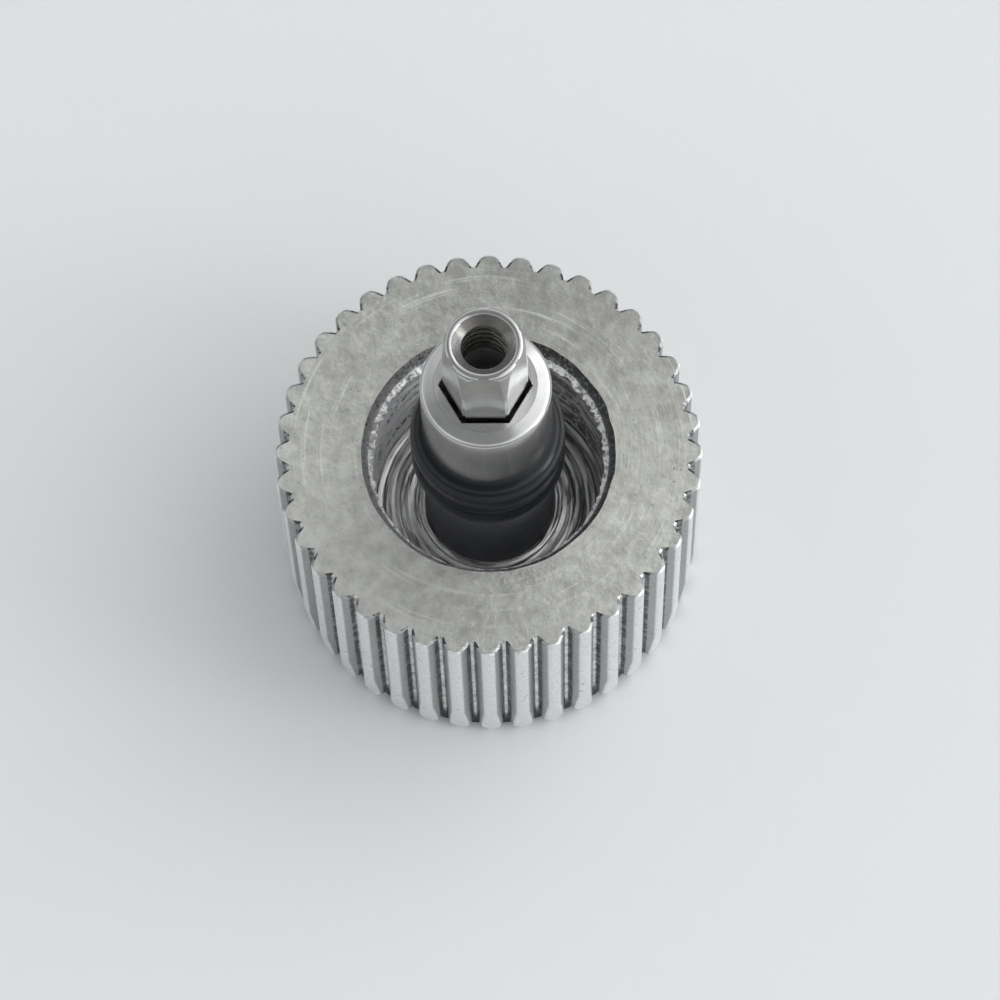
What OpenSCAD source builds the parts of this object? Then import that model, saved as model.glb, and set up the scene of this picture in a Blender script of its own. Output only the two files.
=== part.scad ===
// Screw-down watch crown: a knurled cap with a threaded recess, a centre post with
// its seals, and a sprung hexagonal piston that takes the winding stem.
// The axis is +Z. The outer end, which the fingers meet, lies on z = 0 and the
// piston points up, away from the hand and towards the watch case.

/* [Overall] */
// Length from the outer end to the tip of the piston
overall_length = 9.0; // [8.6:0.1:9.6]
// How far the piston stands out of the nose at rest
piston_reach = 1.57; // [1.2:0.01:1.7]
// How far the piston can be pushed in
piston_travel = 1.2; // [0.6:0.05:1.3]

/* [Crown cap] */
// Diameter over the knurled crests
head_d = 7.0; // [6.5:0.1:7.5]
// Height of the knurled head
head_h = 4.25; // [4.0:0.05:4.5]
// Rounding between the outer end and the knurled side
end_round = 0.35; // [0.2:0.05:0.5]
// How far the knurled side leans in above that rounding
end_taper_w = 0.11; // [0.04:0.01:0.15]
// Height over which it leans in
end_taper_h = 0.8; // [0.4:0.1:1.2]
// Small chamfer round the face that meets the case
face_chamfer = 0.04; // [0.02:0.01:0.1]
// Bore of the recess, at the crests of its thread
recess_d = 3.9; // [3.8:0.05:4.2]
// Depth of the recess below the face
recess_depth = 2.3; // [2.2:0.05:2.5]
// Diameter of the chamfered mouth of the recess
mouth_d = 4.16; // [4.1:0.01:4.6]
// Depth of the chamfer at the mouth
mouth_depth = 0.25; // [0.1:0.05:0.4]

/* [Knurling] */
// Number of straight teeth round the head
knurl_count = 40; // [30:1:44]
// Depth of the grooves between the teeth
knurl_depth = 0.20; // [0.14:0.01:0.25]
// Width of the flat crest of a tooth
knurl_crest = 0.19; // [0.12:0.01:0.24]
// Width of a groove where its flanks turn steeper
knurl_waist = 0.16; // [0.12:0.01:0.2]
// Height of that steeper foot of the flanks above the bottom
knurl_foot = 0.08; // [0.03:0.01:0.1]
// Width of the flat bottom of a groove
knurl_valley = 0.07; // [0.04:0.01:0.1]

/* [Centre post] */
// Diameter of the bare nose
nose_d = 2.1; // [2.06:0.01:2.3]
// Straight length of the bare nose between the seals and the rolled rim
nose_land = 1.5; // [1.3:0.05:1.5]
// Height of the rolled rim above the straight length
rim_h = 0.45; // [0.3:0.05:0.5]
// How far the rolled rim leans inwards
rim_lean_w = 0.06; // [0.03:0.01:0.08]
// Small chamfer on the crown of the rim
rim_chamfer = 0.05; // [0.02:0.01:0.06]
// Diameter of the post under the seals
core_d = 1.78; // [1.74:0.01:1.86]
// Diameter of the foot that is pressed into the cap
foot_d = 1.6; // [1.5:0.01:1.7]
// Depth of the foot in the cap
foot_depth = 1.0; // [0.6:0.05:1.2]
// Bore that holds the spring
spring_bore_d = 1.24; // [1.18:0.01:1.3]
// Bore in which the flange of the piston runs
flange_bore_d = 1.56; // [1.54:0.01:1.6]

/* [Guide bush] */
// Height of the bush
bush_h = 0.95; // [0.6:0.05:1.1]
// Outer diameter of the bush
bush_d = 1.76; // [1.72:0.01:1.8]
// Height of the bevel that the rim is rolled over
bush_bevel_h = 0.15; // [0.1:0.01:0.25]
// Width of the bevel
bush_bevel_w = 0.06; // [0.04:0.01:0.08]

/* [Piston] */
// Width of the hexagon across its flats
hex_flats = 1.2; // [1.16:0.01:1.22]
// Diameter of the round top of the tip
tip_d = 1.17; // [1.1:0.01:1.2]
// Height of the bevel from the tip down to the corners of the hexagon
tip_bevel_h = 0.09; // [0.05:0.01:0.15]
// Thickness of the flange that the bush holds back
flange_t = 0.3; // [0.2:0.01:0.35]
// Tapping hole for the winding stem
tap_d = 0.73; // [0.7:0.01:0.8]
// Depth of the tapping hole
tap_depth = 1.9; // [1.5:0.05:2.2]
// Diameter of the countersink at its mouth
tap_mouth_d = 0.93; // [0.9:0.01:1.0]
// Depth of the countersink
tap_mouth_depth = 0.1; // [0.05:0.01:0.15]
// Diameter of the tail that guides the spring
tail_d = 0.6; // [0.5:0.01:0.66]
// Length of the tail below the flange
tail_length = 0.9; // [0.5:0.05:1.2]

/* [Return spring] */
// Outer diameter of the coil
coil_d = 1.1; // [1.04:0.01:1.12]
// Diameter of the wire
wire_d = 0.15; // [0.12:0.01:0.16]
// Open turns between the closed end turns
open_turns = 10; // [6:1:12]

/* [Seals] */
// Outer diameter of the two seal rings
ring_d = 2.52; // [2.4:0.01:2.6]
// Height of one seal ring
ring_h = 0.71; // [0.5:0.01:0.75]
// How far the bulge of a ring stands out over its edges
ring_bulge_w = 0.2; // [0.12:0.01:0.24]
// Outer diameter of the sleeve under the rings
sleeve_d = 2.16; // [2.1:0.01:2.3]

/* [Clearances] */
// Gap between the hexagon and the bush on each flat
hex_clearance = 0.055; // [0.02:0.005:0.06]
// Gap between the flange of the piston and its bore
flange_clearance = 0.03; // [0.02:0.005:0.05]
// Gap above the flange of the piston at rest
seat_clearance = 0.02; // [0.01:0.01:0.05]
// Gap at each end of the spring
spring_clearance = 0.01; // [0.01:0.01:0.03]

/* [Hidden] */
$fn = 96;
// Cuts reach this far past the faces they open
reach = 0.1;

// Heights along the axis
floor_z = head_h - recess_depth;
foot_z = floor_z - foot_depth;
nose_z = overall_length - piston_reach;
land_top_z = nose_z - rim_h;
land_z = land_top_z - nose_land;
lower_ring_z = land_z - 2 * ring_h;
upper_ring_z = land_z - ring_h;
bush_z = nose_z - bush_h;
flange_top_z = bush_z - seat_clearance;
flange_z = flange_top_z - flange_t;
flange_stop_z = flange_z - piston_travel;

// Sizes that follow from a fit
flange_d = flange_bore_d - 2 * flange_clearance;
hex_hole_flats = hex_flats + 2 * hex_clearance;
coil_r = (coil_d - wire_d) / 2;
spring_z = foot_z + spring_clearance;
spring_h = flange_z - spring_clearance - spring_z;

// Radius of the corners of a hexagon with the given width across flats
function corner_r(flats) = flats / 2 / cos(30);

// Section of the head: it leans in and rounds off towards the outer end,
// and has a small chamfer at the face
module head_section() {
    r = head_d / 2;
    end_r = r - end_taper_w;
    square([end_r - end_round, head_h]);
    intersection() {
        translate([end_r - end_round, end_round]) circle(end_round);
        square([r, end_round]);
    }
    polygon([[0, end_round], [end_r, end_round], [r, end_round + end_taper_h],
             [r, head_h - face_chamfer], [r - face_chamfer, head_h], [0, head_h]]);
}

// One groove between two teeth, cut by a form tool: the flanks open at a gentle
// slope under the crests and turn steeper near the bottom
module knurl_groove() {
    r = head_d / 2;
    bottom_r = r - knurl_depth;
    pitch = PI * head_d / knurl_count;
    opening = (pitch - knurl_crest) / 2;
    slope = (opening - knurl_waist / 2) / (knurl_depth - knurl_foot);
    wide = opening + slope * reach;
    translate([0, 0, -reach])
        linear_extrude(head_h + 2 * reach)
            polygon([[bottom_r, -knurl_valley / 2], [bottom_r + knurl_foot, -knurl_waist / 2],
                     [r + reach, -wide], [r + reach, wide],
                     [bottom_r + knurl_foot, knurl_waist / 2], [bottom_r, knurl_valley / 2]]);
}

// Cap: rounded head, knurled side, stepped recess and the socket for the post
module crown_cap() {
    color("silver")
    difference() {
        rotate_extrude() head_section();
        for (i = [0 : knurl_count - 1])
            rotate([0, 0, 90 + (i + 0.5) * 360 / knurl_count]) knurl_groove();
        translate([0, 0, floor_z]) cylinder(d = recess_d, h = recess_depth + reach);
        translate([0, 0, head_h - mouth_depth])
            cylinder(d1 = recess_d, d2 = mouth_d, h = mouth_depth);
        translate([0, 0, head_h]) cylinder(d = mouth_d, h = reach);
        translate([0, 0, foot_z]) cylinder(d = foot_d, h = foot_depth + reach);
    }
}

// Bevelled outline that the bush and the mouth of the post share
module bush_body(extra = 0) {
    translate([0, 0, bush_z]) cylinder(d = bush_d, h = bush_h - bush_bevel_h);
    translate([0, 0, nose_z - bush_bevel_h])
        cylinder(d1 = bush_d, d2 = bush_d - 2 * bush_bevel_w, h = bush_bevel_h);
    if (extra > 0)
        translate([0, 0, nose_z]) cylinder(d = bush_d - 2 * bush_bevel_w, h = extra);
}

// Post: foot in the cap, core under the seals, bare nose and the rim rolled over the bush
module centre_post() {
    lean_d = nose_d - 2 * rim_lean_w;
    color("lightgray")
    difference() {
        union() {
            translate([0, 0, foot_z]) cylinder(d = foot_d, h = foot_depth);
            translate([0, 0, floor_z]) cylinder(d = core_d, h = land_z - floor_z);
            translate([0, 0, land_z]) cylinder(d = nose_d, h = nose_land);
            translate([0, 0, land_top_z])
                cylinder(d1 = nose_d, d2 = lean_d, h = rim_h - rim_chamfer);
            translate([0, 0, nose_z - rim_chamfer])
                cylinder(d1 = lean_d, d2 = lean_d - 2 * rim_chamfer, h = rim_chamfer);
        }
        translate([0, 0, foot_z - reach])
            cylinder(d = spring_bore_d, h = flange_stop_z - foot_z + 2 * reach);
        translate([0, 0, flange_stop_z])
            cylinder(d = flange_bore_d, h = bush_z - flange_stop_z + reach);
        bush_body(reach);
    }
}

// Bush: bevelled ring with the hexagonal hole that guides the piston
module guide_bush() {
    color("gainsboro")
    difference() {
        bush_body();
        translate([0, 0, bush_z - reach])
            cylinder(r = corner_r(hex_hole_flats), h = bush_h + 2 * reach, $fn = 6);
    }
}

// Piston: tapped hexagon with a bevelled tip, retaining flange and spring tail
module piston() {
    color("darkgray")
    difference() {
        union() {
            intersection() {
                translate([0, 0, flange_z])
                    cylinder(r = corner_r(hex_flats), h = overall_length - flange_z, $fn = 6);
                union() {
                    translate([0, 0, flange_z])
                        cylinder(r = corner_r(hex_flats) + reach,
                                 h = overall_length - flange_z - tip_bevel_h);
                    translate([0, 0, overall_length - tip_bevel_h])
                        cylinder(r1 = corner_r(hex_flats), r2 = tip_d / 2, h = tip_bevel_h);
                }
            }
            translate([0, 0, flange_z]) cylinder(d = flange_d, h = flange_t);
            translate([0, 0, flange_z - tail_length]) cylinder(d = tail_d, h = tail_length);
        }
        translate([0, 0, overall_length - tap_depth]) cylinder(d = tap_d, h = tap_depth + reach);
        translate([0, 0, overall_length - tap_mouth_depth])
            cylinder(d1 = tap_d, d2 = tap_mouth_d, h = tap_mouth_depth);
    }
}

// Height of the wire's centre after a number of turns: closed, open, closed
function coil_height(turn, closed, open, turns) =
    turn < 1 ? turn * closed
    : turn < turns - 1 ? closed + (turn - 1) * open
    : closed + (turns - 2) * open + (turn - turns + 1) * closed;

// One ring of points round the wire, at the given turn of the coil
function wire_ring(turn, height, sides) =
    [for (k = [0 : sides - 1])
        let (a = 360 * turn,
             r = coil_r + wire_d / 2 * cos(360 * k / sides))
            [r * cos(a), r * sin(a), height + wire_d / 2 * sin(360 * k / sides)]];

// Compression spring with one closed turn at each end
module return_spring() {
    sides = 8;
    steps_per_turn = 18;
    turns = open_turns + 2;
    steps = turns * steps_per_turn;
    closed = wire_d * 1.08;
    open = (spring_h - wire_d - 2 * closed) / open_turns;
    points = [for (i = [0 : steps])
        each wire_ring(i / steps_per_turn,
                       spring_z + wire_d / 2 + coil_height(i / steps_per_turn, closed, open, turns),
                       sides)];
    start_cap = [[for (k = [0 : sides - 1]) k]];
    end_cap = [[for (k = [sides - 1 : -1 : 0]) steps * sides + k]];
    side_faces = [for (i = [0 : steps - 1], k = [0 : sides - 1])
        let (a = i * sides + k, b = i * sides + (k + 1) % sides)
            [a, a + sides, b + sides, b]];
    color("slategray")
        polyhedron(points = points, faces = concat(start_cap, side_faces, end_cap), convexity = 10);
}

// Rubber ring with a flat inside and a bulging outside
module seal_ring(base_z) {
    bulge_r = (ring_h * ring_h / 4 + ring_bulge_w * ring_bulge_w) / (2 * ring_bulge_w);
    color("black")
    rotate_extrude()
        intersection() {
            translate([core_d / 2, base_z]) square([(ring_d - core_d) / 2, ring_h]);
            translate([ring_d / 2 - bulge_r, base_z + ring_h / 2]) circle(bulge_r);
        }
}

// Lower and upper rings, one on top of the other under the nose
module lower_seal() { seal_ring(lower_ring_z); }
module upper_seal() { seal_ring(upper_ring_z); }

// Plain sleeve that keeps the rings up against the nose
module seal_sleeve() {
    color("#202226")
    difference() {
        translate([0, 0, floor_z]) cylinder(d = sleeve_d, h = lower_ring_z - floor_z);
        translate([0, 0, floor_z - reach])
            cylinder(d = core_d, h = lower_ring_z - floor_z + 2 * reach);
    }
}

crown_cap();
centre_post();
guide_bush();
piston();
return_spring();
lower_seal();
upper_seal();
seal_sleeve();
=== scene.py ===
"""Looks of a screw-down watch crown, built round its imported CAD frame.

Lengths in this script are millimetres until they become vertices, which are metres.
The crown stands on its outer end, its axis is +Z and its post points up.
"""

import math
import random

import bpy
from mathutils import Matrix, Vector


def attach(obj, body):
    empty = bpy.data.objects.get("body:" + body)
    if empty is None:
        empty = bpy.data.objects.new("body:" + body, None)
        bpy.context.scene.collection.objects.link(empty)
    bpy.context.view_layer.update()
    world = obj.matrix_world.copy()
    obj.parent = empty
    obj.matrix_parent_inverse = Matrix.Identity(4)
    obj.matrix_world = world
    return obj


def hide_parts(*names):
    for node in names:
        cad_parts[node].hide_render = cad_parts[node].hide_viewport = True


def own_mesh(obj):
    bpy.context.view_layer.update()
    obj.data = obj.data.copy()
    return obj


MM = 0.001
MICRON = 1e-6

# Heights along the axis
HEAD_H = 4.25
FLOOR_Z = 1.95
FOOT_Z = 0.95
LEDGE_Z = HEAD_H - 0.25
THREAD_TOP_Z = HEAD_H - 0.34
LAND_Z = 5.48
LAND_TOP_Z = 6.98
RIM_TOP_Z = 7.27
TIP_Z = 9.0
BUSH_Z = 6.48
BUSH_SHOULDER_Z = RIM_TOP_Z - 0.15
FLANGE_TOP_Z = 6.46
FLANGE_Z = 6.16
FLANGE_STOP_Z = 4.94
RING_H = 0.71
LOWER_RING_Z = LAND_Z - 2 * RING_H
UPPER_RING_Z = LAND_Z - RING_H

# Radii of the cap, post, seals and bush
HEAD_R = 3.5
MOUTH_R = 2.08
RECESS_R = 1.95
THREAD_CREST_R = RECESS_R - 0.03
CORE_R = 0.89
FOOT_R = 0.8
NOSE_R = 1.05
SLEEVE_R = 1.08
RING_R = 1.26
SPRING_BORE_R = 0.62
FLANGE_BORE_R = 0.78
BUSH_R = 0.88
BUSH_TOP_R = 0.82
SEAM = 0.006

# Piston: a flat is the distance from the axis to the hexagon's side, and the
# bar's radius is what its corners are turned down to
FLANGE_R = 0.75
TAIL_R = 0.3
TAIL_H = 0.9
HEX_FLAT = 0.6
HOLE_FLAT = 0.645
HOLE_BAR_R = 0.745
BAR_R = 0.675
TIP_R = 0.645
TIP_TAPER_H = 0.85
TIP_CURL_H = 0.1
LIP_R = 0.56
LIP_DROP = 0.03
TAP_R = 0.365
TAP_MOUTH_R = 0.495
TAP_MOUTH_DEPTH = 0.16
TAP_DEPTH = 1.9

# Knurling
TEETH = 40
PITCH = math.tau * HEAD_R / TEETH
TOOTH_DEPTH = 0.2
CREST_HALF = 0.095
WAIST_HALF = 0.08
FOOT_H = 0.08
VALLEY_HALF = 0.035
TAPER_W = 0.08
TAPER_H = 0.9
END_ROUND = 0.12
FIRST_CREST = math.pi / 2

# Where half a tooth is sampled from its crest's middle, as shares of the pitch
TOOTH_STEPS = (0.0, 0.08, 0.13, 0.155, 0.18, 0.21, 0.26, 0.31, 0.345, 0.37, 0.4, 0.43, 0.455, 0.48)


def clamp(value, low=0.0, high=1.0):
    return max(low, min(high, value))


def smooth(value):
    value = clamp(value)
    return value * value * (3 - 2 * value)


def ripple(value, seed):
    """Smooth repeatable noise between -1 and 1 along a line."""

    def at(i):
        return random.Random(int(i) * 7919 + seed).uniform(-1, 1)

    base = math.floor(value)
    return at(base) + (at(base + 1) - at(base)) * smooth(value - base)


def on_circle(radius, angle, height):
    """Vertex in metres from polar millimetres."""
    return (radius * math.cos(angle) * MM, radius * math.sin(angle) * MM, height * MM)


def add_object(name, data):
    obj = bpy.data.objects.new(name, data)
    bpy.context.scene.collection.objects.link(obj)
    return obj


def add_mesh(name, verts, faces):
    mesh = bpy.data.meshes.new(name)
    mesh.from_pydata(verts, [], faces)
    mesh.validate()
    return add_object(name, mesh)


def revolve(name, rows, angles, close=True):
    """Mesh of rings round the axis, and the row that each face starts from.

    A row is (radius, height); either may be a function of the angle. A row of
    radius 0 is one point. With close, the last row joins the first.
    """
    verts, rings = [], []
    for radius, height in rows:
        if radius == 0:
            rings.append([len(verts)])
            verts.append((0, 0, height * MM))
            continue
        ring = []
        for a in angles:
            r = radius(a) if callable(radius) else radius
            z = height(a) if callable(height) else height
            ring.append(len(verts))
            verts.append(on_circle(r, a, z))
        rings.append(ring)
    faces, rows_of_faces = [], []
    pairs = list(zip(rings, rings[1:]))
    if close:
        pairs.append((rings[-1], rings[0]))
    n = len(angles)
    for index, (low, high) in enumerate(pairs):
        if len(low) == 1 and len(high) == 1:
            continue
        for i in range(n):
            j = (i + 1) % n
            if len(low) == 1:
                faces.append((low[0], high[j], high[i]))
            elif len(high) == 1:
                faces.append((low[i], low[j], high[0]))
            else:
                faces.append((low[i], low[j], high[j], high[i]))
            rows_of_faces.append(index)
    obj = add_mesh(name, verts, faces)
    obj.data.shade_smooth()
    return obj, rows_of_faces


def round_angles(count):
    return [math.tau * i / count for i in range(count)]


def spaced(first, last, steps):
    """Evenly spaced values from first to last, both included."""
    return [first + (last - first) * i / steps for i in range(steps + 1)]


def sharpen(obj, degrees):
    obj.data.set_sharp_from_angle(angle=math.radians(degrees))


def finish_piece(obj, body, nodes, material):
    obj.data.materials.clear()
    obj.data.materials.append(material)
    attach(obj, body)
    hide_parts(*nodes)


# Materials


class Shader:
    """Adds linked nodes to one material. Places are object coordinates in millimetres."""

    def __init__(self, name):
        self.material = bpy.data.materials.new(name)
        self.material.use_nodes = True
        self.tree = self.material.node_tree
        self.tree.nodes.clear()
        self.output = self.tree.nodes.new("ShaderNodeOutputMaterial")
        self.bsdf = self.tree.nodes.new("ShaderNodeBsdfPrincipled")
        self.tree.links.new(self.bsdf.outputs[0], self.output.inputs["Surface"])
        coords = self.tree.nodes.new("ShaderNodeTexCoord")
        self.place = self.vector("MULTIPLY", coords.outputs["Object"], (1 / MM, 1 / MM, 1 / MM))
        self.normal = None

    def add(self, kind, settings=None, **inputs):
        node = self.tree.nodes.new(kind)
        for key, value in (settings or {}).items():
            setattr(node, key, value)
        for key, value in inputs.items():
            self.put(node.inputs[key.replace("_", " ")], value)
        return node

    def put(self, socket, value):
        if isinstance(value, bpy.types.NodeSocket):
            self.tree.links.new(value, socket)
        else:
            socket.default_value = value

    def math(self, operation, first, second):
        node = self.add("ShaderNodeMath", {"operation": operation})
        self.put(node.inputs[0], first)
        self.put(node.inputs[1], second)
        return node.outputs[0]

    def vector(self, operation, first, second=(0, 0, 0)):
        node = self.add("ShaderNodeVectorMath", {"operation": operation})
        self.put(node.inputs[0], first)
        self.put(node.inputs[1], second)
        return node.outputs["Value" if operation == "LENGTH" else "Vector"]

    def axes(self):
        """The point's x, y and z in millimetres."""
        split = self.add("ShaderNodeSeparateXYZ")
        self.put(split.inputs[0], self.place)
        return split.outputs

    def noise(self, scale, detail=3.0, roughness=0.6, place=None):
        node = self.add("ShaderNodeTexNoise", Scale=scale, Detail=detail, Roughness=roughness)
        self.put(node.inputs["Vector"], place or self.place)
        return node.outputs["Fac"]

    def band(self, value, low, high, to_low=0.0, to_high=1.0):
        node = self.add("ShaderNodeMapRange", Value=value,
                        From_Min=low, From_Max=high, To_Min=to_low, To_Max=to_high)
        return node.outputs["Result"]

    def mix(self, factor, first, second):
        node = self.add("ShaderNodeMix", {"data_type": "RGBA"})
        self.put(node.inputs["Factor"], factor)
        self.put(node.inputs["A"], first)
        self.put(node.inputs["B"], second)
        return node.outputs["Result"]

    def bump(self, height, microns):
        node = self.add("ShaderNodeBump", Strength=1.0, Distance=microns * MICRON, Height=height)
        if self.normal:
            self.put(node.inputs["Normal"], self.normal)
        self.normal = node.outputs["Normal"]

    def turned(self, across, along, lift=0.0):
        """Coordinates that stretch a pattern round the axis, as a lathe tool does."""
        x, y, z = self.axes()
        flat = self.add("ShaderNodeCombineXYZ", X=x, Y=y).outputs[0]
        ring = self.math("MULTIPLY", self.vector("LENGTH", flat), across)
        rise = self.math("MULTIPLY", z, lift)
        spread = self.vector("MULTIPLY", self.vector("NORMALIZE", flat), (along, along, 0))
        up = self.add("ShaderNodeCombineXYZ", Z=self.math("ADD", ring, rise)).outputs[0]
        return self.vector("ADD", spread, up)

    def brushed(self, amount):
        """Highlights that stretch across the lathe's lines, as on turned metal."""
        tangent = self.add("ShaderNodeTangent", {"direction_type": "RADIAL", "axis": "Z"})
        self.bsdf.inputs["Anisotropic"].default_value = amount
        self.bsdf.inputs["Anisotropic Rotation"].default_value = 0.25
        self.put(self.bsdf.inputs["Tangent"], tangent.outputs[0])

    def painted_light_lean(self, value, per_x, per_y=0.0):
        """A pattern that grows stronger towards -X and -Y, by so much for each millimetre; it
        paints light and shade across a surface.
        """
        x, y, _ = self.axes()
        value = self.math("SUBTRACT", value, self.math("MULTIPLY", x, per_x))
        return self.math("SUBTRACT", value, self.math("MULTIPLY", y, per_y))

    def done(self, colour, rough, metal):
        self.put(self.bsdf.inputs["Base Color"], colour)
        self.put(self.bsdf.inputs["Roughness"], rough)
        self.put(self.bsdf.inputs["Metallic"], metal)
        if self.normal:
            self.put(self.bsdf.inputs["Normal"], self.normal)
        return self.material


def grey(level, red=1.0, blue=1.0):
    """Near-grey colour; red and blue are shares of its green."""
    return (level * red, level, level * blue, 1.0)


def face_steel():
    """Matt turned face: soft patches, which painted light makes paler towards the front left, arcs
    and pits.
    """
    s = Shader("cap_face_steel")
    arcs = s.noise(1.0, 3.0, 0.6, s.turned(11.0, 1.5))
    fine = s.noise(1.0, 2.0, 0.6, s.turned(34.0, 5.0))
    # Painted light and shade: the patches grow paler towards the front left (-X and -Y).
    patches_and_painted_light = s.painted_light_lean(s.noise(3.6, 4.0, 0.66), 0.014, 0.03)
    grain = s.noise(9.0, 3.0, 0.6)
    pits = s.noise(17.0, 2.0, 0.5)
    s.bump(arcs, 6.0)
    s.bump(fine, 2.6)
    s.bump(grain, 11.0)
    s.bump(s.band(pits, 0.69, 0.79), -9.0)
    s.brushed(0.6)
    tone = s.mix(s.band(patches_and_painted_light, 0.3, 0.7), grey(0.43, 0.99, 0.94), grey(0.67, 0.99, 0.95))
    tone = s.mix(s.band(arcs, 0.58, 0.74), tone, grey(0.76, 0.99, 0.95))
    tone = s.mix(s.band(pits, 0.7, 0.79), tone, grey(0.3, 0.98, 0.94))
    return s.done(tone, s.band(patches_and_painted_light, 0.3, 0.7, 0.42, 0.5), 0.85)


def knurl_steel():
    """Side of the cap: pale pitted crests; painted shade makes the flanks grey and the beaded feet
    dark, and a painted reflection makes the bottoms bright.

    The attribute groove holds the depth below the crests, as a share of the tooth's.
    """
    s = Shader("cap_side_steel")
    groove = s.add("ShaderNodeAttribute", {"attribute_name": "groove"}).outputs["Fac"]
    grain = s.noise(20.0, 3.0, 0.6)
    beads = s.noise(7.0, 3.0, 0.65)
    pits = s.noise(12.0, 2.0, 0.5)
    s.bump(grain, 5.0)
    s.bump(s.band(pits, 0.62, 0.72), -9.0)
    crest = s.mix(s.band(grain, 0.35, 0.65), grey(0.76, 0.975), grey(0.9, 0.975))
    crest = s.mix(s.band(pits, 0.67, 0.75), crest, grey(0.38))
    flank_painted_shade = s.mix(s.band(grain, 0.35, 0.65), grey(0.35, 0.96), grey(0.45, 0.96))
    foot = s.mix(s.band(beads, 0.45, 0.62), grey(0.06, 0.98), grey(0.34, 0.98))
    valley_painted_reflection = s.mix(s.band(beads, 0.4, 0.6), grey(0.45, 0.98), grey(0.85, 0.98))
    # Painted shade and reflection: the tone follows the depth in the groove, with grey flanks,
    # dark feet and bright bottoms.
    tone = s.mix(s.band(groove, 0.1, 0.2), crest, flank_painted_shade)
    tone = s.mix(s.band(groove, 0.56, 0.66), tone, foot)
    tone = s.mix(s.band(groove, 0.93, 0.985), tone, valley_painted_reflection)
    # Painted shade: low on the side, the feet and bottoms of the grooves turn near black.
    low = s.math("SUBTRACT", 1.0, s.band(s.axes()[2], 0.42, 0.7))
    painted_groove_shade = s.math("MULTIPLY", low, s.band(groove, 0.6, 0.75))
    tone = s.mix(painted_groove_shade, tone, grey(0.012))
    rough = s.band(groove, 0.05, 1.0, 0.42, 0.24)
    return s.done(tone, rough, s.band(groove, 0.0, 0.2, 0.78, 0.95))


def wall_steel():
    """Torn bright metal of the recess's thread, with painted light that makes it paler towards -X.
    """
    s = Shader("cap_wall_steel")
    arcs = s.noise(1.0, 3.0, 0.6, s.turned(8.0, 2.2, 11.0))
    tear = s.noise(10.0, 4.0, 0.72)
    s.bump(arcs, 16.0)
    s.bump(tear, 12.0)
    # Painted light: the tears and arcs grow paler towards -X, on the wall that faces the lamps.
    tear = s.painted_light_lean(tear, 0.03)
    tone = s.mix(s.band(s.painted_light_lean(arcs, 0.024), 0.44, 0.55), grey(0.3), grey(0.99))
    tone = s.mix(s.band(tear, 0.48, 0.58), tone, grey(0.97))
    return s.done(tone, s.band(tear, 0.3, 0.7, 0.36, 0.5), 0.35)


def floor_steel():
    """Floor of the recess with strong dark and bright tool arcs, and painted light that makes it
    paler towards -X.
    """
    s = Shader("cap_floor_steel")
    arcs = s.noise(1.0, 3.0, 0.65, s.turned(13.0, 1.3))
    fine = s.noise(1.0, 2.0, 0.6, s.turned(34.0, 2.6))
    s.bump(arcs, 7.0)
    s.bump(fine, 3.0)
    # Painted light: the arcs grow paler towards -X.
    tone = s.mix(s.band(s.painted_light_lean(arcs, 0.024), 0.42, 0.53), grey(0.2), grey(1.0))
    tone = s.mix(s.band(fine, 0.58, 0.68), tone, grey(0.45))
    return s.done(tone, 0.26, 0.6)


def burr_steel():
    """Torn ledge at the start of the thread: its pale matt tone is a painted highlight, broken by
    dark tears.
    """
    s = Shader("cap_burr_steel")
    tear = s.noise(11.0, 3.0, 0.7)
    s.bump(tear, 14.0)
    tone = s.mix(s.band(tear, 0.4, 0.54), grey(0.3), grey(0.95))
    return s.done(tone, 0.45, 0.3)


def mouth_steel():
    """Dark chamfer at the mouth of the recess, with bright specks that painted light makes more
    common towards -X.
    """
    s = Shader("cap_mouth_steel")
    tear = s.noise(15.0, 3.0, 0.65)
    s.bump(tear, 14.0)
    # Painted light: the bright specks grow more common towards -X.
    tone = s.mix(s.band(s.painted_light_lean(tear, 0.06), 0.43, 0.58), grey(0.28), grey(0.97))
    return s.done(tone, 0.34, 0.85)


def tap_steel():
    """Countersink and thread: a painted dark reflection at the back, and painted shade deep in the
    hole, where it is also dull.
    """
    s = Shader("piston_tap_steel")
    tear = s.noise(14.0, 3.0, 0.6)
    s.bump(tear, 3.0)
    _, y, z = s.axes()
    # Painted shade: the hole turns a dull grey below about a millimetre from the tip.
    near_tip = s.band(z, TIP_Z - 1.2, TIP_Z - 1.0)
    # Painted reflection: the back of the countersink and upper thread is painted dark brown.
    painted_dark_back = s.band(y, -0.05, 0.25)
    tone = s.mix(painted_dark_back, grey(0.8, 1.01, 0.98), grey(0.17, 1.03, 0.94))
    tone = s.mix(near_tip, grey(0.36), tone)
    return s.done(tone, 0.22, s.math("ADD", s.math("MULTIPLY", near_tip, 0.75), 0.2))


def fine_steel(name, level, rough, across=0.0, lift=90.0, microns=0.5, brush=0.0):
    """Finely turned or ground steel with lines round the axis."""
    s = Shader(name)
    lines = s.noise(1.0, 2.0, 0.6, s.turned(across, 1.2, lift))
    cloud = s.noise(2.6, 3.0, 0.5)
    s.bump(lines, microns)
    if brush:
        s.brushed(brush)
    tone = s.mix(s.band(cloud, 0.35, 0.65), grey(level * 0.92), grey(level * 1.06))
    return s.done(tone, s.band(lines, 0.3, 0.7, rough * 0.85, rough * 1.15), 1.0)


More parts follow.
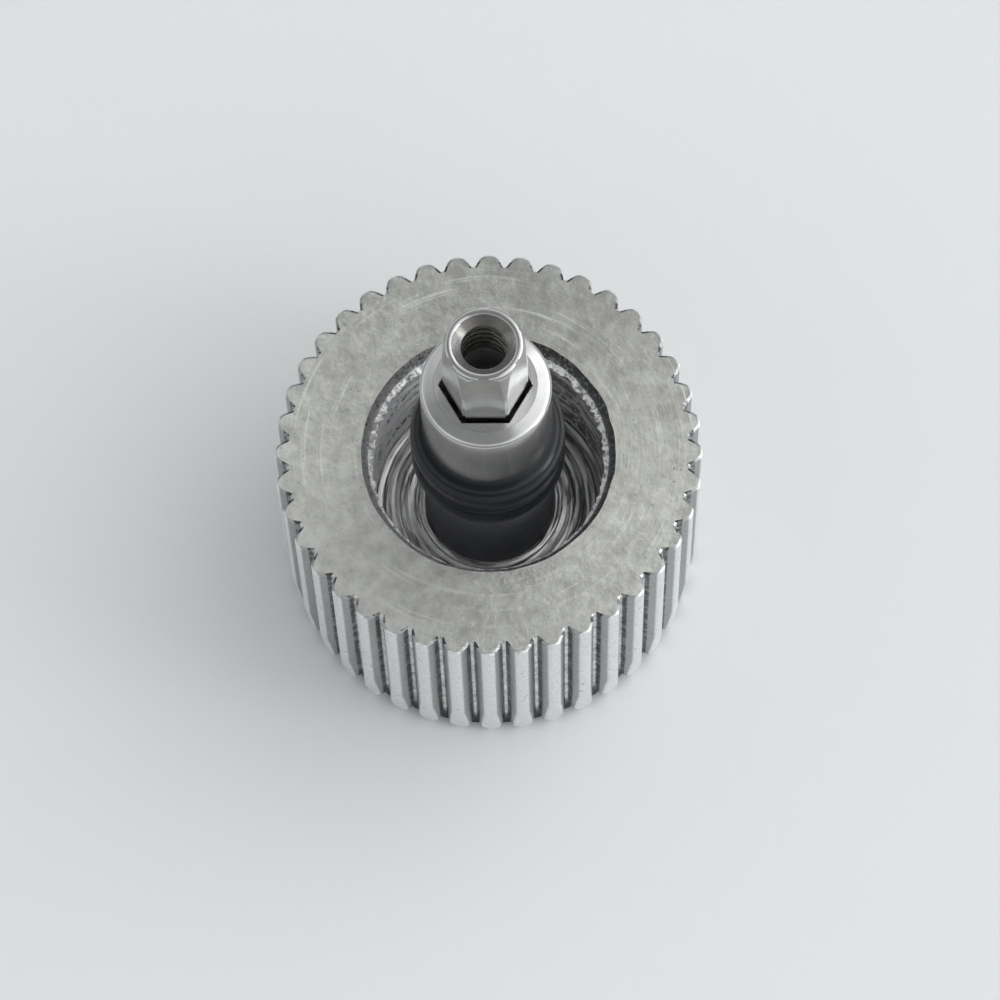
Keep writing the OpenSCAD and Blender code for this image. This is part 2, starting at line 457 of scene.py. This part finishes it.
def rubber(name, tone, rough, grain_microns, gloss):
    """Moulded rubber with a fine grain."""
    s = Shader(name)
    grain = s.noise(16.0, 3.0, 0.6)
    cloud = s.noise(3.0, 2.0, 0.5)
    s.bump(grain, grain_microns)
    s.bsdf.inputs["Specular IOR Level"].default_value = gloss
    low = tuple(c * 0.8 for c in tone) + (1.0,)
    high = tuple(c * 1.3 for c in tone) + (1.0,)
    return s.done(s.mix(cloud, low, high), s.band(grain, 0.3, 0.7, rough * 0.9, rough * 1.1), 0.0)


# Knurled cap


def tooth_angles():
    shares = list(TOOTH_STEPS) + [0.5] + [1 - share for share in reversed(TOOTH_STEPS[1:])]
    step = math.tau / TEETH
    return [FIRST_CREST + (k + share) * step for k in range(TEETH) for share in shares]


def arc_offset(angle):
    """Arc distance from the middle of the nearest crest, always positive."""
    share = ((angle - FIRST_CREST) / math.tau * TEETH) % 1.0
    return min(share, 1 - share) * PITCH


def flank_depth(offset):
    """Depth below the crests at an arc distance from a crest's middle."""
    offset = min(abs(offset), PITCH - abs(offset))
    waist = PITCH / 2 - WAIST_HALF
    foot = PITCH / 2 - VALLEY_HALF
    if offset < waist:
        return (TOOTH_DEPTH - FOOT_H) * clamp((offset - CREST_HALF) / (waist - CREST_HALF))
    return TOOTH_DEPTH - FOOT_H * clamp((foot - offset) / (foot - waist))


def tooth_radius(offset):
    """Radius of the knurled section, rounded by a mean that reaches wider at the crest."""
    reach = 0.055 - 0.04 * smooth((offset - 0.12) / 0.08)
    spread = [reach * share for share in (-1.0, -0.67, -0.33, 0.0, 0.33, 0.67, 1.0)]
    return HEAD_R - sum(flank_depth(offset + step) for step in spread) / len(spread)


def end_radius(height):
    """Outline of the head over the crests: it leans in, then rounds to its outer end."""
    height = clamp(height, 0.0, HEAD_H)
    r = HEAD_R - TAPER_W * clamp((END_ROUND + TAPER_H - height) / TAPER_H)
    if height < END_ROUND:
        r -= END_ROUND - math.sqrt(END_ROUND ** 2 - (END_ROUND - height) ** 2)
    return r


def side_radius(height, bevel=0.0):
    """Knurled side at a height: each tooth flares where it leans in and ends in a blunt point."""
    deepest = HEAD_R - TOOTH_DEPTH - 0.02
    point_z, point_slope = 0.02, 1.15

    def radius(angle):
        offset = arc_offset(angle)
        r = min(tooth_radius(offset + bevel), end_radius(height)) - bevel
        tooth_start = point_z + point_slope * offset
        if height < tooth_start:
            r = max(r - (tooth_start - height), min(r, deepest))
        return r

    return radius


def ledge_width(angle):
    """The torn ledge is widest at the back and fades at the front."""
    return 0.012 + 0.06 * smooth(0.66 + 0.62 * math.sin(angle + 0.08))


def ledge_inner_radius(angle):
    return RECESS_R + 0.012 - ledge_width(angle) * (1.2 + 0.45 * ripple(angle * 30, 5))


def ledge_height(angle):
    return LEDGE_Z + 0.03 * ripple(angle * 20, 11)


def thread_cut(height, angle, pitch, half_width):
    """Groove of a right-hand thread, as a share of its full depth; half_width is in turns."""
    turn = (height / pitch - angle / math.tau) % 1.0
    return smooth(1 - abs(turn - 0.5) / half_width)


def thread_radius(height):
    """Wall of the recess: a thread cut outwards from its crests, which runs out at the floor."""
    pitch, depth = 0.3, 0.08
    fade = smooth((height - FLOOR_Z - 0.1) / 0.2)
    return lambda angle: THREAD_CREST_R + depth * thread_cut(height, angle, pitch, 0.38) * fade


def floor_height(radius):
    """Floor of the recess with the grooves that the lathe tool left."""
    coarse = ripple(radius / 0.085, 21)
    fine = ripple(radius / 0.032, 33)
    return FLOOR_Z - 0.016 + 0.014 * coarse + 0.006 * fine


def cap_rows():
    """Section of the cap from its outer end over the side to the socket of the post.

    The second result says at which row each zone of the section starts.
    """
    bevel = 0.03
    end_rings = (1.5, 2.7)
    face_rings = (3.22, 2.9, 2.5, 2.2)
    side_heights = [0.0, 0.02, 0.05, 0.08, 0.12, 0.17, 0.22, 0.27, 0.34, 0.44, 0.56, 0.7, 0.85]
    side_heights += [1.02, 1.5, 2.1, 2.8, 3.5, 4.0, HEAD_H - bevel]
    starts = {}
    rows = [(0, 0.0)] + [(r, 0.0) for r in end_rings]
    rows += [(side_radius(z), z) for z in side_heights]
    rows.append((side_radius(HEAD_H, bevel), HEAD_H))
    starts["face"] = len(rows) - 1
    rows += [(r, HEAD_H) for r in face_rings]
    rows.append((lambda a: MOUTH_R + 0.012 * ripple(a * 9, 3), HEAD_H))
    starts["mouth"] = len(rows) - 1
    rows += [(MOUTH_R - 0.05, HEAD_H - 0.08), (MOUTH_R - 0.095, HEAD_H - 0.17)]
    rows.append((RECESS_R + 0.022, lambda a: ledge_height(a) + 0.03))
    starts["ledge"] = len(rows) - 1
    rows.append((ledge_inner_radius, ledge_height))
    rows.append((lambda a: ledge_inner_radius(a) + 0.005, lambda a: ledge_height(a) - 0.025))
    starts["wall"] = len(rows) - 1
    rows += [(thread_radius(z), z) for z in spaced(THREAD_TOP_Z, FLOOR_Z + 0.02, 52)]
    starts["floor"] = len(rows) - 1
    rows += [(r, floor_height(r)) for r in spaced(RECESS_R - 0.05, FOOT_R, 56)]
    rows += [(FOOT_R, FOOT_Z), (0, FOOT_Z)]
    return rows, starts


def build_cap():
    rows, starts = cap_rows()
    obj, row_of_face = revolve("cap_knurled_head", rows, tooth_angles(), close=False)
    finish_piece(obj, "crown", ["crown_cap"], knurl_steel())
    zones = {"face": face_steel, "mouth": mouth_steel, "ledge": burr_steel, "wall": wall_steel,
             "floor": floor_steel}
    for maker in zones.values():
        obj.data.materials.append(maker())
    for polygon, row in zip(obj.data.polygons, row_of_face):
        polygon.material_index = sum(row >= starts[zone] for zone in zones)
    depths = obj.data.attributes.new("groove", "FLOAT", "POINT")
    for vertex, depth in zip(obj.data.vertices, depths.data):
        depth.value = groove_depth(vertex.co / MM)
    sharpen(obj, 24)


def groove_depth(place):
    """Depth of a point of the side below the crests, as a share of the tooth's depth."""
    radius = math.hypot(place.x, place.y)
    offset = arc_offset(math.atan2(place.y, place.x))
    by_form = (HEAD_R - tooth_radius(offset)) / TOOTH_DEPTH
    waist_share = 0.6
    if by_form > waist_share:
        return clamp(by_form)
    return clamp((end_radius(place.z) - radius) / TOOTH_DEPTH)


# Post, bush and piston


def rim_rows():
    """Outside of the nose's rolled rim: a tight curl, then a shallow slope up to the seam."""
    curl_r = 0.985
    slope = math.radians(14)
    curl_z = RIM_TOP_Z - (curl_r - BUSH_TOP_R) * math.tan(slope)
    wide = (NOSE_R - curl_r) / (1 - math.sin(slope))
    tall = 0.085
    last = math.pi / 2 - slope
    rows = [(NOSE_R, LAND_TOP_Z - 0.05)]
    for t in spaced(0, last, 9):
        z = curl_z - tall * (math.sin(last) - math.sin(t))
        rows.append((NOSE_R - wide * (1 - math.cos(t)), z))
    for share in (0.25, 0.5, 0.75):
        r = curl_r + (BUSH_TOP_R - curl_r) * share
        rows.append((r, curl_z + (RIM_TOP_Z - curl_z) * share))
    return rows


def build_post():
    foot_cone, edge = 0.03, 0.02
    rows = [(SPRING_BORE_R, FOOT_Z), (FOOT_R, FOOT_Z), (FOOT_R, FLOOR_Z - foot_cone)]
    rows += [(CORE_R, FLOOR_Z), (CORE_R, LAND_Z), (NOSE_R - edge, LAND_Z), (NOSE_R, LAND_Z + edge)]
    rows += [(NOSE_R, z) for z in spaced(LAND_Z, LAND_TOP_Z, 6)[1:-1]]
    rows += rim_rows()
    rows += [(BUSH_TOP_R + SEAM, RIM_TOP_Z - 0.002), (BUSH_TOP_R, RIM_TOP_Z - SEAM)]
    rows += [(BUSH_R, BUSH_SHOULDER_Z), (BUSH_R, BUSH_Z), (FLANGE_BORE_R, BUSH_Z)]
    rows += [(FLANGE_BORE_R, FLANGE_STOP_Z), (SPRING_BORE_R, FLANGE_STOP_Z)]
    obj, _ = revolve("post_tube", rows, round_angles(160))
    steel = fine_steel("post_steel", 0.62, 0.17)
    finish_piece(obj, "crown", ["centre_post"], steel)
    sharpen(obj, 12)


def hexagon(flat, bar):
    """Polar outline of a hexagon with corners on +X and -X, turned down to a bar's radius."""

    def radius(angle):
        from_corner = abs((angle + math.pi / 6) % (math.pi / 3) - math.pi / 6)
        from_flat = math.pi / 6 - from_corner
        return min(flat / math.cos(from_flat), bar)

    return radius


def hex_angles(per_side):
    """Angles in radians that put vertices at each corner and on both sides of its blunt part."""
    near = (0.0, 0.04, 0.08, 0.1117, 0.13, 0.16)
    inner = spaced(0.2, 0.8472, per_side)
    steps = list(near) + inner + [math.pi / 3 - x for x in reversed(near[1:])]
    angles = []
    for side in range(6):
        base = side * math.pi / 3
        angles += [base + x for x in steps]
    return angles


def build_bush():
    hole = hexagon(HOLE_FLAT, HOLE_BAR_R)
    edge = 0.016
    rows = [(hole, BUSH_Z), (BUSH_R, BUSH_Z), (BUSH_R, BUSH_SHOULDER_Z)]
    rows += [(BUSH_TOP_R, RIM_TOP_Z - SEAM), (BUSH_TOP_R - 0.004, RIM_TOP_Z)]
    rows += [(lambda a: hole(a) + edge, RIM_TOP_Z), (hole, RIM_TOP_Z - edge)]
    obj, _ = revolve("bush_hex_guide", rows, hex_angles(14))
    steel = fine_steel("bush_steel", 0.66, 0.26, across=40.0, lift=30.0, microns=0.8, brush=0.6)
    finish_piece(obj, "crown", ["guide_bush"], steel)
    sharpen(obj, 25)


def tap_thread(height):
    """Wall of the tapped hole: thread crests at the tapping size, cut outwards."""
    pitch, depth = 0.18, 0.045
    return lambda angle: TAP_R + depth * thread_cut(height, angle, pitch, 0.42)


def build_piston():
    tail_z = FLANGE_Z - TAIL_H
    chamfer = 0.03
    rows = [(0, tail_z), (TAIL_R - chamfer, tail_z), (TAIL_R, tail_z + chamfer)]
    rows += [(TAIL_R, FLANGE_Z), (FLANGE_R, FLANGE_Z), (FLANGE_R, FLANGE_TOP_Z)]
    taper_z = TIP_Z - TIP_TAPER_H
    rows += [(hexagon(HEX_FLAT, BAR_R), z) for z in spaced(FLANGE_TOP_Z, taper_z, 5)]
    tapers = 16
    bars = spaced(BAR_R, TIP_R, tapers)
    heights = spaced(taper_z, TIP_Z - TIP_CURL_H, tapers)
    rows += [(hexagon(HEX_FLAT, bar), z) for bar, z in zip(bars[1:], heights[1:])]
    for degrees in (15, 30, 42, 54, 66, 78):
        t = math.radians(degrees)
        bar = TIP_R - (TIP_R - LIP_R) * (1 - math.cos(t))
        rows.append((hexagon(HEX_FLAT, bar), TIP_Z - TIP_CURL_H * (1 - math.sin(t))))
    lip_inner_r = LIP_R - 0.01
    rows.append((lip_inner_r, TIP_Z))
    for degrees in (24, 48, 72, 90):
        t = math.radians(degrees)
        inner = lip_inner_r - (lip_inner_r - TAP_MOUTH_R) * math.sin(t)
        rows.append((inner, TIP_Z - LIP_DROP * (1 - math.cos(t))))
    first_tap_row = len(rows) - 1
    cone_r = spaced(TAP_MOUTH_R, TAP_R, 6)
    cone_z = spaced(TIP_Z - LIP_DROP, TIP_Z - TAP_MOUTH_DEPTH, 6)
    rows += list(zip(cone_r[1:], cone_z[1:]))
    top, low = TIP_Z - TAP_MOUTH_DEPTH - 0.02, TIP_Z - TAP_DEPTH + 0.05
    rows += [(tap_thread(z), z) for z in spaced(top, low, 80)]
    rows += [(TAP_R, TIP_Z - TAP_DEPTH), (0, TIP_Z - TAP_DEPTH)]
    obj, row_of_face = revolve("piston_hex_rod", rows, hex_angles(12), close=False)
    steel = fine_steel("piston_steel", 0.56, 0.13, across=30.0, lift=36.0)
    finish_piece(obj, "piston", ["piston"], steel)
    obj.data.materials.append(tap_steel())
    for polygon, row in zip(obj.data.polygons, row_of_face):
        polygon.material_index = 1 if row >= first_tap_row else 0
    sharpen(obj, 18)


# Seals and spring


def seal_rows(base):
    """Section of a rubber ring: flat inside, two soft shoulders and a bulge."""
    flat_r, shoulder_r, bulge_r, shoulder_h = 1.0, 1.04, 1.06, 0.012
    half = RING_H / 2
    rows = [(CORE_R, base), (flat_r, base), (shoulder_r, base + shoulder_h)]
    for t in spaced(-math.pi / 2, math.pi / 2, 24):
        reach = abs(math.cos(t))
        r = bulge_r + (RING_R - bulge_r) * reach ** 0.8 if reach > 1e-6 else bulge_r
        rows.append((r, base + half + (half - 0.02) * math.sin(t)))
    top = base + RING_H
    rows += [(shoulder_r, top - shoulder_h), (flat_r, top), (CORE_R, top)]
    return rows


def build_seals():
    black = (0.0055, 0.0068, 0.01)
    glossy = rubber("seal_rubber", black, rough=0.2, grain_microns=0.25, gloss=0.36)
    for name, node, base in (("seal_ring_lower", "lower_seal", LOWER_RING_Z),
                             ("seal_ring_upper", "upper_seal", UPPER_RING_Z)):
        obj, _ = revolve(name, seal_rows(base), round_angles(144))
        finish_piece(obj, "crown", [node], glossy)
        sharpen(obj, 50)


def build_sleeve():
    top = LOWER_RING_Z
    edge = 0.02
    rows = [(CORE_R, FLOOR_Z), (SLEEVE_R - edge, FLOOR_Z), (SLEEVE_R, FLOOR_Z + edge)]
    rows += [(SLEEVE_R, z) for z in spaced(FLOOR_Z, top, 8)[1:-1]]
    rows += [(SLEEVE_R, top - edge), (SLEEVE_R - edge, top), (CORE_R, top)]
    obj, _ = revolve("seal_plain_sleeve", rows, round_angles(144))
    # Painted light: the black rubber is made paler than its own colour so that it reads as lit in
    # the shaded recess.
    lifted_black_painted_light = (0.085, 0.088, 0.102)
    matt = rubber("sleeve_rubber", lifted_black_painted_light, rough=0.6, grain_microns=1.5, gloss=0.4)
    finish_piece(obj, "crown", ["seal_sleeve"], matt)
    sharpen(obj, 50)


def coil_height(turn, turns, closed, pitch):
    """Height of the wire above its start: one closed turn at each end, open turns between."""
    if turn < 1:
        return turn * closed
    if turn < turns - 1:
        return closed + (turn - 1) * pitch
    return closed + (turns - 2) * pitch + (turn - turns + 1) * closed


def build_spring():
    """Round wire between the post's foot and the piston's flange."""
    wire_r = 0.075
    coil_r = 0.475
    turns = 12
    gap = 0.01
    steps = turns * 32
    sides = 10
    closed = 2 * wire_r * 1.08
    height = FLANGE_Z - FOOT_Z - 2 * gap
    pitch = (height - 2 * wire_r - 2 * closed) / (turns - 2)
    verts, faces = [], []
    for i in range(steps + 1):
        turn = turns * i / steps
        z = FOOT_Z + gap + wire_r + coil_height(turn, turns, closed, pitch)
        for k in range(sides):
            b = math.tau * k / sides
            r = coil_r + wire_r * math.cos(b)
            verts.append(on_circle(r, math.tau * turn, z + wire_r * math.sin(b)))
    for i in range(steps):
        for k in range(sides):
            a, b = i * sides + k, i * sides + (k + 1) % sides
            faces.append((a, a + sides, b + sides, b))
    faces.append(tuple(range(sides)))
    faces.append(tuple(steps * sides + k for k in reversed(range(sides))))
    obj = add_mesh("spring_coil", verts, faces)
    obj.data.shade_smooth()
    steel = fine_steel("spring_steel", 0.5, 0.3)
    finish_piece(obj, "crown", ["return_spring"], steel)
    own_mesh(obj)


# Surroundings


def build_paper():
    """Sheet of pale paper, with painted shade that darkens it away from the crown."""
    half = 0.4
    corners = [(-half, -half, 0), (half, -half, 0), (half, half, 0), (-half, half, 0)]
    floor = add_mesh("paper", corners, [(0, 1, 2, 3)])
    s = Shader("paper_white")
    fibre = s.noise(1.2, 4.0, 0.6)
    cloud = s.noise(0.06, 2.0, 0.5)
    s.bump(fibre, 8.0)
    tone = s.mix(s.band(cloud, 0.3, 0.7), (0.79, 0.8, 0.808, 1), (0.81, 0.82, 0.829, 1))
    # Painted shade: from 13 to 34 mm away the paper turns dark grey.
    away = s.vector("LENGTH", s.place)
    tone = s.mix(s.band(away, 13.0, 34.0), tone, (0.36, 0.365, 0.37, 1))
    floor.data.materials.append(s.done(tone, 0.9, 0.0))


def add_lamp(name, place, target, size, watts):
    """Rectangular area lamp; places and size in millimetres."""
    light = bpy.data.lights.new(name, "AREA")
    light.shape = "RECTANGLE"
    light.size, light.size_y = size[0] * MM, size[1] * MM
    light.energy = watts
    lamp = add_object(name, light)
    lamp.location = Vector(place) * MM
    lamp.rotation_euler = (Vector(target) * MM - lamp.location).to_track_quat("-Z", "Y").to_euler()


def build_light():
    """Room light by direction, and a large window and a side card on the right.

    The room is brightest about 30 degrees up and dim overhead. It is dimmer low
    in front, at the back and on the left.
    """
    world = bpy.data.worlds.new("studio")
    bpy.context.scene.world = world
    world.use_nodes = True
    tree = world.node_tree
    direction = tree.nodes.new("ShaderNodeTexCoord")
    split = tree.nodes.new("ShaderNodeSeparateXYZ")
    ramp = tree.nodes.new("ShaderNodeValToRGB")
    background = tree.nodes["Background"]
    tree.links.new(direction.outputs["Generated"], split.inputs[0])
    tree.links.new(split.outputs[2], ramp.inputs[0])
    tree.links.new(ramp.outputs[0], background.inputs["Color"])
    # Axis, then where the fade starts and ends along it, and the strength at each end
    fades = (
        (1, -0.92, -0.62, 0.5, 1.17),
        (1, 0.3, 0.85, 1.0, 0.72),
        (0, -0.75, 0.75, 0.78, 1.3),
    )
    strength = None
    for axis, *settings in fades:
        fade = tree.nodes.new("ShaderNodeMapRange")
        for key, value in zip(("From Min", "From Max", "To Min", "To Max"), settings):
            fade.inputs[key].default_value = value
        tree.links.new(split.outputs[axis], fade.inputs["Value"])
        if strength:
            both = tree.nodes.new("ShaderNodeMath")
            both.operation = "MULTIPLY"
            tree.links.new(strength, both.inputs[0])
            tree.links.new(fade.outputs["Result"], both.inputs[1])
            strength = both.outputs[0]
        else:
            strength = fade.outputs["Result"]
    tree.links.new(strength, background.inputs["Strength"])
    # Rise of a direction, from level to straight up, and how bright the room is there
    stops = ((0.0, 0.5), (0.25, 0.72), (0.5, 0.98), (0.7, 0.88))
    stops += ((0.82, 0.5), (0.9, 0.3), (1.0, 0.26))
    marks = ramp.color_ramp.elements
    while len(marks) < len(stops):
        marks.new(0.5)
    for mark, (rise, level) in zip(marks, stops):
        mark.position = rise
        mark.color = (level * 0.978, level * 0.99, level, 1)
    add_lamp("window", (98, 27, 110), (0, 0, 2), (180, 180), 0.08)
    add_lamp("side_card", (110, -30, 35), (0, 0, 5), (36, 80), 0.024)


def build_camera():
    """Telephoto view from above the front, a little rolled, as the photograph was taken."""
    elevation, azimuth, roll = math.radians(69.3), math.radians(2.4), math.radians(2.4)
    distance = 85.0
    pixels_per_mm = 61.0
    # The target is seen at seen_px in the photograph's 1000 by 1000 frame
    centre_px, seen_px = (500.0, 500.0), (488.6, 457.5)
    target = Vector((0, 0, 4.0))
    ahead = Vector((math.sin(azimuth), -math.cos(azimuth), 0))
    back = ahead * math.cos(elevation) + Vector((0, 0, math.sin(elevation)))
    level = Vector((math.cos(azimuth), math.sin(azimuth), 0))
    upright = back.cross(level)
    right = level * math.cos(roll) - upright * math.sin(roll)
    up = level * math.sin(roll) + upright * math.cos(roll)
    aim = target + right * (centre_px[0] - seen_px[0]) / pixels_per_mm
    aim = aim - up * (centre_px[1] - seen_px[1]) / pixels_per_mm
    data = bpy.data.cameras.new("camera")
    data.sensor_width = 36.0
    data.lens = distance * pixels_per_mm * data.sensor_width / (2 * centre_px[0])
    data.clip_start, data.clip_end = 0.002, 10.0
    camera = add_object("camera", data)
    place = target + back * distance
    camera.location = place * MM
    towards_lens = (place - aim).normalized()
    right = up.cross(towards_lens).normalized()
    up = towards_lens.cross(right)
    camera.rotation_euler = Matrix((right, up, towards_lens)).transposed().to_euler()
    bpy.context.scene.camera = camera


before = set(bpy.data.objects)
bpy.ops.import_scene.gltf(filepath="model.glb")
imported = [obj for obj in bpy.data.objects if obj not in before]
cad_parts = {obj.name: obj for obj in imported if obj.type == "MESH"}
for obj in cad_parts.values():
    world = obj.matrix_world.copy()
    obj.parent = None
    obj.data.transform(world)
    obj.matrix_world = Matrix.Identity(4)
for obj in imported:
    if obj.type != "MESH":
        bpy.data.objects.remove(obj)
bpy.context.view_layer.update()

build_camera()
build_paper()
build_light()
build_cap()
build_post()
build_bush()
build_piston()
build_seals()
build_sleeve()
build_spring()

bpy.context.scene.view_settings.view_transform = "Standard"
